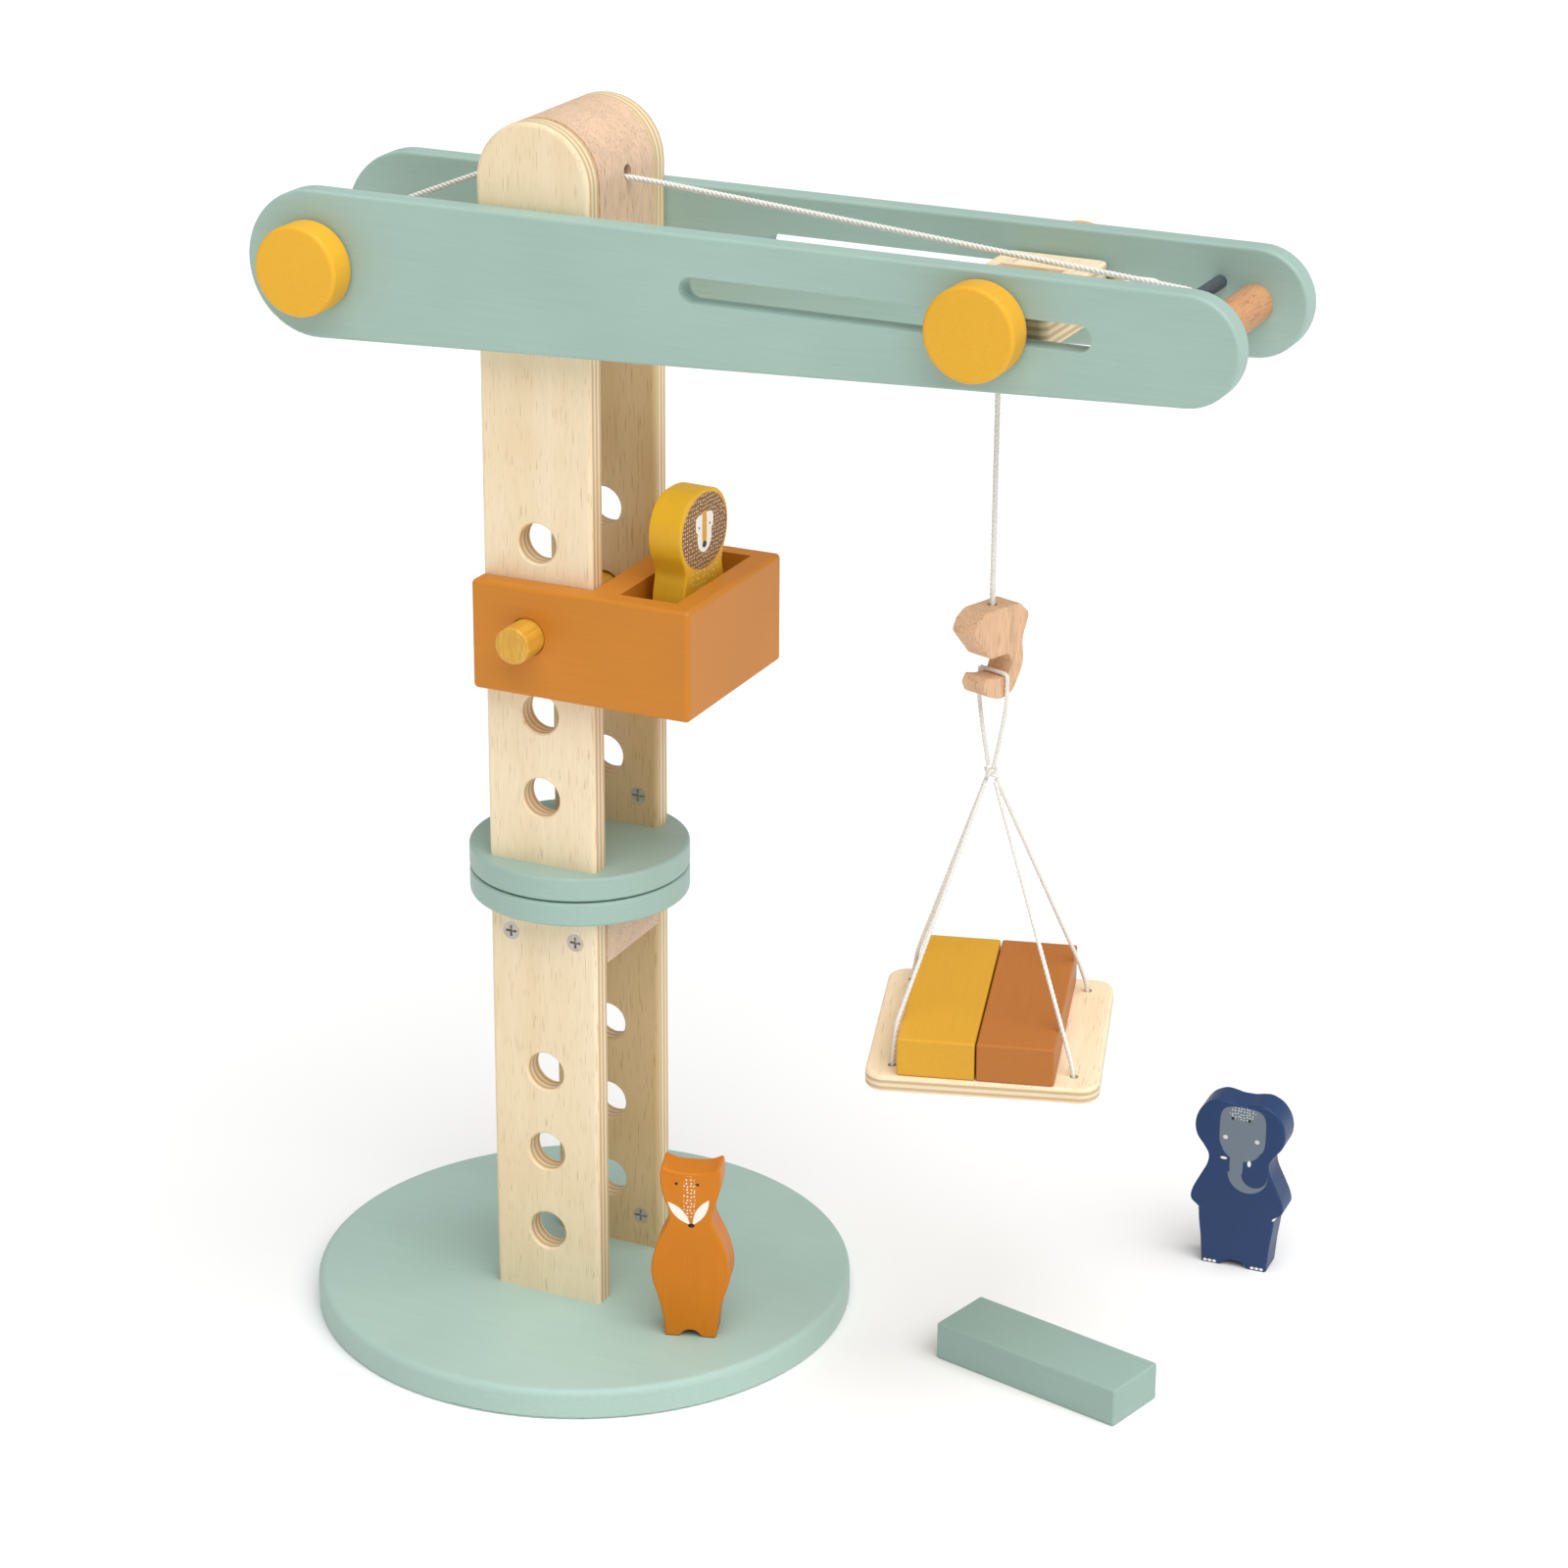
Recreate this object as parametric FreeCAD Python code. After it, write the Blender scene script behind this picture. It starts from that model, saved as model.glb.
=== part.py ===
"""Wooden toy tower crane with its load pallet, blocks and animal figures. Millimetres, +Z up.

The origin is the centre of the base board's underside. The jib points along +X, the winch is at -X,
and the tower's front plate faces -Y.
"""
import FreeCAD
import Part
import math
import os

V = FreeCAD.Vector

# Driving dimensions
ply = 9.0                      # thickness of the tower and jib boards
plate_gap = 40.0               # clear width between the two tower plates
tower_width = 43.0             # width of a tower plate, along X
base_radius = 100.0
base_thickness = 11.5
disc_radius = 40.0
disc_thickness = 9.0
disc_gap = 0.6
lower_top = 165.0              # top of the lower tower, under the turntable
tower_height = 451.0           # top of the round tower head
edge_round = 1.8               # rounded edge of the plywood plates

hole_radius = 7.3              # pin holes in the tower plates
hole_bevel = 0.6
lower_holes = [102.0, 69.7, 37.4]
upper_holes = [303.5, 272.0, 240.5, 209.0]

jib_top = 421.5
jib_rear_radius = 26.0
jib_tip_radius = 18.5
jib_rear_x = -81.0
jib_tip_x = 236.5
slot_left = 59.5
slot_right = 205.5
slot_half = 4.5

winch_radius = 6.5             # winch axle
knob_radius = 16.0
knob_thickness = 12.0
knob_gap = 0.4                 # between a knob and the jib plate
running = 0.08                 # radial clearance of a turning axle

trolley_x = 168.0
trolley_length = 36.0
trolley_width = 55.2
trolley_thickness = 18.0
trolley_axle_radius = 4.0
pulley_radius = 8.0
pulley_width = 15.0

rod_x = 224.5                  # steel rod that the hoist cord turns round
rod_z = 409.0
rod_radius = 2.3

cord_radius = 1.0
sling_radius = 0.8              # the pallet's cords are a little thinner
cord_clear = 0.3                # free space between the cord and what it goes round

hook_top = 296.4
hook_thickness = 10.4
hook_turn = 70.7               # the hook's flat faces are turned this far about its cord
loop_at = 1.5                  # where the pallet's loop lies on the hook's arm

pallet_size = 81.0
pallet_thickness = 6.0
pallet_top = 139.8
pallet_turn = 17.0
pallet_tilt = 4.2               # its front hangs a little lower than its back
pallet_shift = 2.8              # its middle hangs a little to the right of the knot
pallet_hole_at = 31.5
knot_z = 235.4

block_length = 79.0
block_width = 27.0
block_height = 14.4
pair_gap = 0.5
pair_turn = -1.2                # the pair of blocks lies a little askew on the pallet
pair_shift = -1.2

cab_left = -22.0
cab_right = 62.6
cab_half_depth = 37.3
cab_bottom = 249.8
cab_top = 290.0
cab_floor = 7.5
cab_divider_left = 22.2
pocket_left = 32.5
pocket_right = 54.3
pin_radius = 6.65

figure_thickness = 13.0
figure_round = 0.8

plate_outer = plate_gap / 2 + ply
half_width = tower_width / 2
upper_foot = lower_top + 2 * disc_thickness + disc_gap
jib_outer = plate_outer + ply
slot_z = jib_top - jib_tip_radius
winch_z = jib_top - jib_rear_radius
cord_bore_z = tower_height - half_width + 1.0
pin_z = upper_holes[1]
fall_x = trolley_x - pulley_radius - cord_clear - cord_radius


def export(node, shape):
    """Write one node; several bodies in one node are kept as separate solids."""
    if not shape.isValid():
        raise ValueError(node + " is not a valid shape")
    shape.exportStep("parts/" + node + ".step")
    print("%-24s %2d solid  %9.1f mm3" % (node, len(shape.Solids), shape.Volume))


def block(x0, x1, y0, y1, z0, z1):
    return Part.makeBox(x1 - x0, y1 - y0, z1 - z0, V(x0, y0, z0))


def rod_y(x, z, radius, y0, y1):
    """Cylinder that lies along Y."""
    return Part.makeCylinder(radius, y1 - y0, V(x, y0, z), V(0, 1, 0))


def rod_up(x, y, radius, z0, z1):
    """Upright cylinder."""
    return Part.makeCylinder(radius, z1 - z0, V(x, y, z0))


def bevel_ring_y(x, z, radius, bevel, y_face, inward):
    """Cone that bevels the mouth of a hole at a face; inward is the sign of Y into the wood."""
    return Part.makeCone(radius + bevel, radius, bevel, V(x, y_face, z), V(0, inward, 0))


def edges_on(shape, axis, value, smallest=0.0):
    """Edges that lie wholly in the plane axis = value and are longer than smallest."""
    found = []
    for edge in shape.Edges:
        box = edge.BoundBox
        low = getattr(box, axis + "Min")
        high = getattr(box, axis + "Max")
        if abs(low - value) < 1e-4 and abs(high - value) < 1e-4 and edge.Length > smallest:
            found.append(edge)
    return found


def round_path(points, radii, closed=False):
    """Straight runs joined by tangent arcs, one radius for each inner point (every point if closed)."""
    count = len(points)
    corners = range(count) if closed else range(1, count - 1)
    cut = {}
    for i, radius in zip(corners, radii):
        back = (points[i - 1] - points[i]).normalize()
        ahead = (points[(i + 1) % count] - points[i]).normalize()
        half_turn = (math.pi - back.getAngle(ahead)) / 2
        reach = radius * math.tan(half_turn)
        start = points[i] + back * reach
        end = points[i] + ahead * reach
        inward = (back + ahead).normalize()
        middle = points[i] + inward * (radius / math.cos(half_turn) - radius)
        cut[i] = (start, middle, end)
    edges = []
    stretches = range(count) if closed else range(count - 1)
    for i in stretches:
        j = (i + 1) % count
        a = cut[i][2] if i in cut else points[i]
        b = cut[j][0] if j in cut else points[j]
        if (b - a).Length > 1e-6:
            edges.append(Part.LineSegment(a, b).toShape())
        if j in cut:
            edges.append(Part.Arc(*cut[j]).toShape())
    return Part.Wire(edges)


def smooth_radii(points, closed):
    """The largest arcs that the runs on both sides of each point allow."""
    count = len(points)
    corners = range(count) if closed else range(1, count - 1)
    radii = []
    for i in corners:
        back = points[i - 1] - points[i]
        ahead = points[(i + 1) % count] - points[i]
        half_turn = (math.pi - back.getAngle(ahead)) / 2
        radii.append(0.45 * min(back.Length, ahead.Length) / math.tan(half_turn))
    return radii


def cord(name, points, radii, thick=cord_radius):
    """Round cord along straight runs and tangent arcs; its volume is compared with section by length."""
    path = round_path(points, radii)
    direction = (points[1] - points[0]).normalize()
    section = Part.Wire([Part.makeCircle(thick, points[0], direction)])
    tube = path.makePipeShell([section], True, False)
    ratio = tube.Volume / (math.pi * thick ** 2 * path.Length)
    print("%-24s length %6.1f  volume ratio %.3f  radii %s"
          % (name, path.Length, ratio, " ".join("%.1f" % r for r in radii)))
    export(name, tube)
    return path.Length


def tower_plate(y0, z0, z1, holes, round_top):
    """Plywood tower plate with rounded edges and bevelled pin holes."""
    if round_top:
        centre = z1 - half_width
        corners = [V(-half_width, y0, z0), V(half_width, y0, z0)]
        right = Part.LineSegment(corners[1], V(half_width, y0, centre)).toShape()
        arch = Part.Arc(V(half_width, y0, centre), V(0, y0, z1), V(-half_width, y0, centre)).toShape()
        left = Part.LineSegment(V(-half_width, y0, centre), corners[0]).toShape()
        foot = Part.LineSegment(corners[0], corners[1]).toShape()
        outline = Part.Wire([foot, right, arch, left])
        plate = Part.Face(outline).extrude(V(0, ply, 0))
    else:
        plate = block(-half_width, half_width, y0, y0 + ply, z0, z1)
    rim = [e for e in edges_on(plate, "Y", y0) + edges_on(plate, "Y", y0 + ply) if e.BoundBox.ZMax > z0 + 1]
    if not round_top:
        rim = [e for e in rim if e.BoundBox.ZMin < z1 - 1]
    plate = plate.makeFillet(edge_round, rim)
    for z in holes:
        plate = plate.cut(rod_y(0, z, hole_radius, y0 - 1, y0 + ply + 1))
        plate = plate.cut(bevel_ring_y(0, z, hole_radius, hole_bevel, y0, 1))
        plate = plate.cut(bevel_ring_y(0, z, hole_radius, hole_bevel, y0 + ply, -1))
    return plate


def side_screw(x, z, side):
    """Countersunk cross-head screw driven along Y through a plate; side is the sign of Y of its head."""
    face = side * plate_outer
    head = Part.makeCone(3.4, 1.6, 2.2, V(x, face, z), V(0, -side, 0))
    shank = Part.makeCylinder(1.6, 20.0, V(x, face - side * 2.2, z), V(0, -side, 0))
    return head.fuse(shank)


def cross_recess(x, y, z, inward, size):
    """Cross slot; inward is the sign of Y into the head."""
    depth = 1.1
    y0, y1 = sorted((y - inward * 0.5, y + inward * depth))
    upright = block(x - 0.45, x + 0.45, y0, y1, z - size, z + size)
    level = block(x - size, x + size, y0, y1, z - 0.45, z + 0.45)
    return upright.fuse(level)


def barrel_nut(x, z, side):
    """Steel cross dowel let into a plate's inner face; side is the sign of Y of its plate."""
    return Part.makeCylinder(3.2, 7.0, V(x, side * plate_gap / 2, z), V(0, side, 0))


def foot_bolt(x, y, z0, z1):
    """Countersunk bolt that stands up through a board into a barrel nut."""
    head = Part.makeCone(4.0, 2.0, 2.4, V(x, y, z0))
    return head.fuse(rod_up(x, y, 2.0, z0 + 2.4, z1))


def fixings(z0, z_nut):
    """Four barrel nuts and their four bolts, for the feet of one pair of plates."""
    nuts = []
    bolts = []
    for x in (-13.5, 13.5):
        for side in (-1, 1):
            bolts.append(foot_bolt(x, side * (plate_gap / 2 + ply / 2), z0, z_nut))
            nuts.append(barrel_nut(x, z_nut, side).cut(bolts[-1]))
    return nuts, bolts


def knob(x, z, side, axle_radius):
    """Turned knob on the outer side of the jib, with a blind bore for its axle."""
    inner = side * (jib_outer + knob_gap)
    body = Part.makeCylinder(knob_radius, knob_thickness, V(x, inner, z), V(0, side, 0))
    rims = edges_on(body, "Y", inner + side * knob_thickness, 20) + edges_on(body, "Y", inner, 20)
    body = body.makeFillet(1.6, rims)
    return body.cut(Part.makeCylinder(axle_radius, 6.0, V(x, inner, z), V(0, side, 0)))


def jib_outline(y):
    """Tapered outline: two round ends of different size and the straight lines that touch both."""
    rear = V(jib_rear_x, y, winch_z)
    tip = V(jib_tip_x, y, slot_z)
    along = math.atan2(tip.z - rear.z, tip.x - rear.x)
    spread = math.acos((jib_rear_radius - jib_tip_radius) / (tip - rear).Length)

    def on_circle(centre, radius, angle):
        return centre + V(radius * math.cos(angle), 0, radius * math.sin(angle))

    rear_high = on_circle(rear, jib_rear_radius, along + spread)
    rear_low = on_circle(rear, jib_rear_radius, along - spread)
    tip_high = on_circle(tip, jib_tip_radius, along + spread)
    tip_low = on_circle(tip, jib_tip_radius, along - spread)
    rear_end = on_circle(rear, -jib_rear_radius, along)
    tip_end = on_circle(tip, jib_tip_radius, along)
    return Part.Wire([
        Part.LineSegment(rear_high, tip_high).toShape(),
        Part.Arc(tip_high, tip_end, tip_low).toShape(),
        Part.LineSegment(tip_low, rear_low).toShape(),
        Part.Arc(rear_low, rear_end, rear_high).toShape(),
    ])


def jib_plate(y0, inner, outer):
    """Jib plate with its trolley slot, winch bore, and blind seats for the tip dowel and the rod."""
    plate = Part.Face(jib_outline(y0)).extrude(V(0, ply, 0))
    plate = plate.makeFillet(1.2, edges_on(plate, "Y", y0) + edges_on(plate, "Y", y0 + ply))
    y1 = y0 + ply
    slot = block(slot_left + slot_half, slot_right - slot_half, y0 - 1, y1 + 1,
                 slot_z - slot_half, slot_z + slot_half)
    slot = slot.fuse(rod_y(slot_left + slot_half, slot_z, slot_half, y0 - 1, y1 + 1))
    slot = slot.fuse(rod_y(slot_right - slot_half, slot_z, slot_half, y0 - 1, y1 + 1)).removeSplitter()
    plate = plate.cut(slot)
    plate = plate.cut(rod_y(jib_rear_x, winch_z, winch_radius + running, y0 - 1, y1 + 1))
    seat0, seat1 = sorted((inner, inner + 0.6 * (outer - inner)))
    plate = plate.cut(rod_y(jib_tip_x, slot_z, 6.5, seat0, seat1))
    plate = plate.cut(rod_y(rod_x, rod_z, rod_radius, seat0, seat1))
    return plate


def turned(shape, angle, centre):
    copy = shape.copy()
    copy.rotate(centre, V(0, 0, 1), angle)
    return copy


def figure(half_outline, toe, centre, floor_z, turn):
    """Flat wooden figure: a mirrored outline with an arch between the feet, rounded all round."""
    right = [V(u, 0, z) for u, z in half_outline]
    left = [V(-u, 0, z) for u, z in reversed(half_outline) if u > 0]
    arch = [V(-toe, 0, 0), V(-toe * 0.45, 0, 2.6), V(toe * 0.45, 0, 2.6), V(toe, 0, 0)]
    points = right + left + arch
    radii = smooth_radii(points, True)
    sharp = {0, len(right) + len(left) - 1, len(points) - 1, len(right) + len(left)}
    radii = [min(r, 0.8) if i in sharp else min(r, 40.0) for i, r in enumerate(radii)]
    outline = round_path(points, radii, True)
    body = Part.Face(outline).extrude(V(0, figure_thickness, 0))
    body.translate(V(0, -figure_thickness / 2, 0))
    rims = edges_on(body, "Y", -figure_thickness / 2) + edges_on(body, "Y", figure_thickness / 2)
    body = body.makeFillet(figure_round, rims)
    body = turned(body, turn, V(0, 0, 0))
    body.translate(V(centre[0], centre[1], floor_z - body.BoundBox.ZMin))
    return body


def rounded_block(length_x, length_y, height, radius):
    """Painted block with every edge rounded, on z = 0 and centred on the origin."""
    body = block(-length_x / 2, length_x / 2, -length_y / 2, length_y / 2, 0, height)
    return body.makeFillet(radius, body.Edges)


os.makedirs("parts", exist_ok=True)

# Base board and lower tower: two plywood plates stand on the round board and hold a beech block
base_nuts, base_bolts = fixings(0.6, 24.0)
base = rod_up(0, 0, base_radius, 0, base_thickness)
base = base.makeFillet(2.6, edges_on(base, "Z", base_thickness))
base = base.makeFillet(1.2, edges_on(base, "Z", 0))
for bolt in base_bolts:
    mouth = Part.makeCylinder(4.0, 0.6, bolt.BoundBox.Center - V(0, 0, bolt.BoundBox.Center.z))
    base = base.cut(bolt).cut(mouth)
export("base_board", base)
export("base_bolts", Part.makeCompound(base_bolts))
export("base_barrel_nuts", Part.makeCompound([
    nut.cut(cross_recess(nut.BoundBox.Center.x, math.copysign(plate_gap / 2, nut.BoundBox.Center.y),
                         24.0, math.copysign(1, nut.BoundBox.Center.y), 2.4)) for nut in base_nuts]))

screws = [side_screw(x, lower_top - 9.5, side) for x in (-13, 13) for side in (-1, 1)]
pivot = rod_up(0, 0, 3.0, lower_top - 26.0, upper_foot - 3.4)
pivot = pivot.fuse(rod_up(0, 0, 6.5, upper_foot - 3.4, upper_foot - 0.4))
pivot = pivot.cut(Part.makeBox(7.0, 1.2, 1.4, V(-3.5, -0.6, upper_foot - 1.6)))
lower_block = block(-half_width, half_width, -plate_gap / 2, plate_gap / 2, lower_top - 19.0, lower_top)
lower_block = lower_block.cut(rod_up(0, 0, 3.0, lower_top - 20.0, lower_top + 1))
for screw in screws:
    lower_block = lower_block.cut(screw)
export("lower_block", lower_block)
for name, y0, side in (("lower_plate_front", -plate_outer, -1), ("lower_plate_rear", plate_gap / 2, 1)):
    plate = tower_plate(y0, base_thickness, lower_top, lower_holes, False)
    for solid in screws + base_bolts + base_nuts:
        if solid.BoundBox.Center.y * side > 0:
            plate = plate.cut(solid)
    for nut in base_nuts:
        centre = nut.BoundBox.Center
        if centre.y * side > 0:
            plate = plate.cut(barrel_nut(centre.x, 24.0, side))
    export(name, plate)
export("tower_screws", Part.makeCompound([
    screw.cut(cross_recess(screw.BoundBox.Center.x, math.copysign(plate_outer, screw.BoundBox.Center.y),
                           lower_top - 9.5, -math.copysign(1, screw.BoundBox.Center.y), 2.1))
    for screw in screws]))

# Turntable: two discs on a pivot bolt, with a thin washer between them
lower_disc = rod_up(0, 0, disc_radius, lower_top, lower_top + disc_thickness)
lower_disc = lower_disc.makeFillet(1.2, edges_on(lower_disc, "Z", lower_top) +
                                   edges_on(lower_disc, "Z", lower_top + disc_thickness))
export("lower_disc", lower_disc.cut(rod_up(0, 0, 3.0, lower_top - 1, upper_foot)))
washer = rod_up(0, 0, 14.0, lower_top + disc_thickness, lower_top + disc_thickness + disc_gap - 0.1)
export("pivot_washer", washer.cut(rod_up(0, 0, 3.0, lower_top, upper_foot)))
export("pivot_bolt", pivot)
nut_base = lower_top - 25.0
hexagon = [V(5.8 * math.cos(math.radians(60 * i)), 5.8 * math.sin(math.radians(60 * i)), nut_base)
           for i in range(6)]
lock_nut = Part.Face(Part.makePolygon(hexagon + [hexagon[0]])).extrude(V(0, 0, 5.6))
export("pivot_nut", lock_nut.cut(rod_up(0, 0, 3.0, nut_base - 1, nut_base + 7)))

upper_nuts, upper_bolts = fixings(lower_top + disc_thickness + disc_gap + 0.6, upper_foot + 11.5)
disc_low = lower_top + disc_thickness + disc_gap
upper_disc = rod_up(0, 0, disc_radius, disc_low, upper_foot)
upper_disc = upper_disc.makeFillet(1.2, edges_on(upper_disc, "Z", disc_low) +
                                   edges_on(upper_disc, "Z", upper_foot))
upper_disc = upper_disc.cut(rod_up(0, 0, 3.0 + running, disc_low - 1, upper_foot + 1))
upper_disc = upper_disc.cut(rod_up(0, 0, 7.0, upper_foot - 3.6, upper_foot + 1))
for bolt in upper_bolts:
    mouth = Part.makeCylinder(4.0, 0.6, V(bolt.BoundBox.Center.x, bolt.BoundBox.Center.y, disc_low))
    upper_disc = upper_disc.cut(bolt).cut(mouth)
export("upper_disc", upper_disc)
export("upper_bolts", Part.makeCompound(upper_bolts))
export("upper_barrel_nuts", Part.makeCompound([
    nut.cut(cross_recess(nut.BoundBox.Center.x, math.copysign(plate_gap / 2, nut.BoundBox.Center.y),
                         upper_foot + 11.5, math.copysign(1, nut.BoundBox.Center.y), 2.4))
    for nut in upper_nuts]))

# Upper tower: two round topped plates with a beech head block that carries the hoist cord's bore
dowels = []
for x in (-12.0, 12.0):
    for z in (388.0, 409.0):
        for side in (-1, 1):
            y0, y1 = sorted((side * (plate_gap / 2 - 12.0), side * (plate_outer + 5.0)))
            dowels.append(rod_y(x, z, 3.0, y0, y1))
for name, y0, side in (("upper_plate_front", -plate_outer, -1), ("upper_plate_rear", plate_gap / 2, 1)):
    plate = tower_plate(y0, upper_foot, tower_height, upper_holes, True)
    for solid in upper_bolts + dowels:
        if solid.BoundBox.Center.y * side > 0:
            plate = plate.cut(solid)
    for nut in upper_nuts:
        centre = nut.BoundBox.Center
        if centre.y * side > 0:
            plate = plate.cut(barrel_nut(centre.x, upper_foot + 11.5, side))
    export(name, plate)

head_centre = tower_height - half_width
head = rod_y(0, head_centre, half_width, -plate_gap / 2, plate_gap / 2)
head = head.fuse(block(-half_width, half_width, -plate_gap / 2, plate_gap / 2, 378.0, head_centre))
head = head.removeSplitter()
head = head.cut(Part.makeCylinder(2.8, tower_width + 2, V(-half_width - 1, 0, cord_bore_z), V(1, 0, 0)))
for dowel in dowels:
    head = head.cut(dowel)
export("head_block", head)
export("jib_dowels", Part.makeCompound(dowels))

# Jib: two tapered plates outside the tower, the tip dowel and the steel cord rod between them
for name, y0, inner, outer in (("jib_plate_front", -jib_outer, -plate_outer, -jib_outer),
                               ("jib_plate_rear", plate_outer, plate_outer, jib_outer)):
    plate = jib_plate(y0, inner, outer)
    for dowel in dowels:
        plate = plate.cut(dowel)
    export(name, plate)
seat = 0.6 * ply
export("tip_dowel", rod_y(jib_tip_x, slot_z, 6.5, -plate_outer - seat, plate_outer + seat))
export("cord_rod", rod_y(rod_x, rod_z, rod_radius, -plate_outer - seat, plate_outer + seat))

# Winch: an axle through the jib's rear end with a knob on each side and the cord wound on it
axle_end = jib_outer + knob_gap + 6.0
export("winch_axle", rod_y(jib_rear_x, winch_z, winch_radius, -axle_end, axle_end))
for name, side in (("winch_knob_front", -1), ("winch_knob_rear", 1)):
    export(name, knob(jib_rear_x, winch_z, side, winch_radius))
winding_radius = winch_radius + 2 * 2 * cord_radius
winding = rod_y(jib_rear_x, winch_z, winding_radius, -9.0, 9.0)
export("cord_winding", winding.cut(rod_y(jib_rear_x, winch_z, winch_radius, -10.0, 10.0)))

# Trolley: a thick plywood board hangs on its axle in the slots; the axle carries a pulley and two knobs
board_top = slot_z + trolley_thickness / 2
board_low = slot_z - trolley_thickness / 2
board = block(trolley_x - trolley_length / 2, trolley_x + trolley_length / 2,
              -trolley_width / 2, trolley_width / 2, board_low, board_top)
uprights = [e for e in board.Edges if e.BoundBox.ZLength > trolley_thickness - 0.1]
board = board.makeFillet(3.0, uprights)
board = board.makeFillet(1.0, edges_on(board, "Z", board_top) + edges_on(board, "Z", board_low))
board = board.cut(block(trolley_x - 13.0, trolley_x + 10.0, -9.0, 9.0, board_low - 1, board_top + 1))
board = board.cut(block(trolley_x + 9.0, trolley_x + trolley_length, -2.5, 2.5, board_top - 3.2, board_top + 1))
board = board.cut(rod_y(trolley_x, slot_z, trolley_axle_radius + running, -trolley_width, trolley_width))
export("trolley_board", board)
export("trolley_axle", rod_y(trolley_x, slot_z, trolley_axle_radius, -axle_end, axle_end))
for name, side in (("trolley_knob_front", -1), ("trolley_knob_rear", 1)):
    export(name, knob(trolley_x, slot_z, side, trolley_axle_radius))
pulley = rod_y(trolley_x, slot_z, pulley_radius, -pulley_width / 2, pulley_width / 2)
export("trolley_pulley", pulley.cut(rod_y(trolley_x, slot_z, trolley_axle_radius, -pulley_width, pulley_width)))

# Hoist cord: winch, head block, round the rod at the tip, back over the trolley's pulley, down to the hook
wound_at = winding_radius - cord_radius
entry = V(-half_width - 3.0, 0, cord_bore_z - 1.5)
away = entry - V(jib_rear_x, 0, winch_z)
rise = math.atan2(away.z, away.x) - math.asin(wound_at / away.Length)
leave = V(jib_rear_x - wound_at * math.sin(rise), 0, winch_z + wound_at * math.cos(rise))
clear_of_winding = 6.9
start = leave + V(math.cos(rise), 0, math.sin(rise)) * clear_of_winding
rod_side = rod_x + rod_radius + cord_radius + 0.2
turn_high = V(rod_side, 0, rod_z + rod_radius + cord_radius + 0.2)
turn_low = V(rod_side, 0, rod_z - rod_radius - cord_radius - 0.7)
wrap = pulley_radius + cord_clear + cord_radius
drop = turn_low.z - slot_z
reach = turn_low.x - trolley_x
slope = math.asin(wrap / math.hypot(reach, drop)) - math.atan2(drop, reach)
back_along = V(-math.cos(slope), 0, math.sin(slope))
round_rod = turn_low + back_along * 5.0
on_pulley = V(trolley_x + wrap * math.sin(slope), 0, slot_z + wrap * math.cos(slope))
exit_bore = V(half_width + 3.0, 0, cord_bore_z - 1.5)
rod_arc = rod_radius + cord_radius + 0.1
cord("hoist_cord_run", [start, entry, exit_bore, turn_high, turn_low, round_rod], [12.0, 30.0, rod_arc, rod_arc])
cord("hoist_cord_return", [round_rod, on_pulley - back_along * 0.2], [])

pulley_arc = Part.Wire([Part.Arc(
    on_pulley,
    V(trolley_x - wrap * math.sin(math.pi / 4 - slope / 2), 0, slot_z + wrap * math.cos(math.pi / 4 - slope / 2)),
    V(trolley_x - wrap, 0, slot_z)).toShape()])
arc_section = Part.Wire([Part.makeCircle(cord_radius, on_pulley, back_along)])
export("hoist_cord_on_pulley", pulley_arc.makePipeShell([arc_section], True, False))
fall_top = slot_z - 0.2
hook_socket = 8.0
cord("hoist_cord_fall", [V(fall_x, 0, fall_top), V(fall_x, 0, hook_top - hook_socket + 0.5)], [])

# Hook: sawn from a thick beech board, hung on the cord that runs into its top
hook_points = [(-8.5, 0), (8.4, 0), (13.6, -4.8), (10.2, -13.5), (11.4, -22.0), (6.0, -31.3), (0, -33.0),
               (-7.5, -30.0), (-9.2, -26.6), (-7.3, -23.6), (-2.0, -25.0), (3.4, -25.0), (5.2, -21.0),
               (3.6, -17.2), (-5.8, -17.0), (-14.7, -6.5), (-12.3, -2.4)]
hook_radii = [5.0, 3.5, 2.5, 8.0, 10.0, 6.0, 8.0, 2.5, 1.5, 1.2, 6.0, 1.6, 2.0, 1.6, 1.6, 2.2, 3.0]
hook_wire = round_path([V(s, -hook_thickness / 2, hook_top + z) for s, z in hook_points], hook_radii, True)
hook = Part.Face(hook_wire).extrude(V(0, hook_thickness, 0))
hook = hook.makeFillet(0.5, edges_on(hook, "Y", -hook_thickness / 2) + edges_on(hook, "Y", hook_thickness / 2))
hook = hook.cut(rod_up(0, 0, 1.7, hook_top - hook_socket, hook_top + 1))
hook.rotate(V(0, 0, 0), V(0, 0, 1), hook_turn)
hook.translate(V(fall_x, 0, 0))
export("hook", hook)

# Pallet: a plywood tray on four cords that meet in a knot, with a loop over the hook's arm
across = V(math.cos(math.radians(hook_turn)), math.sin(math.radians(hook_turn)), 0)
through = V(-across.y, across.x, 0)
knot_foot = V(fall_x, 0, 0) + across * loop_at
tray = FreeCAD.Placement(
    knot_foot + V(pallet_shift, 0, pallet_top),
    FreeCAD.Rotation(V(0, 0, 1), pallet_turn).multiply(FreeCAD.Rotation(V(1, 0, 0), pallet_tilt)))


def on_tray(shape):
    """Place a shape that is drawn about the middle of the pallet's top."""
    placed = shape.copy()
    placed.Placement = tray.multiply(placed.Placement)
    return placed


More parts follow.
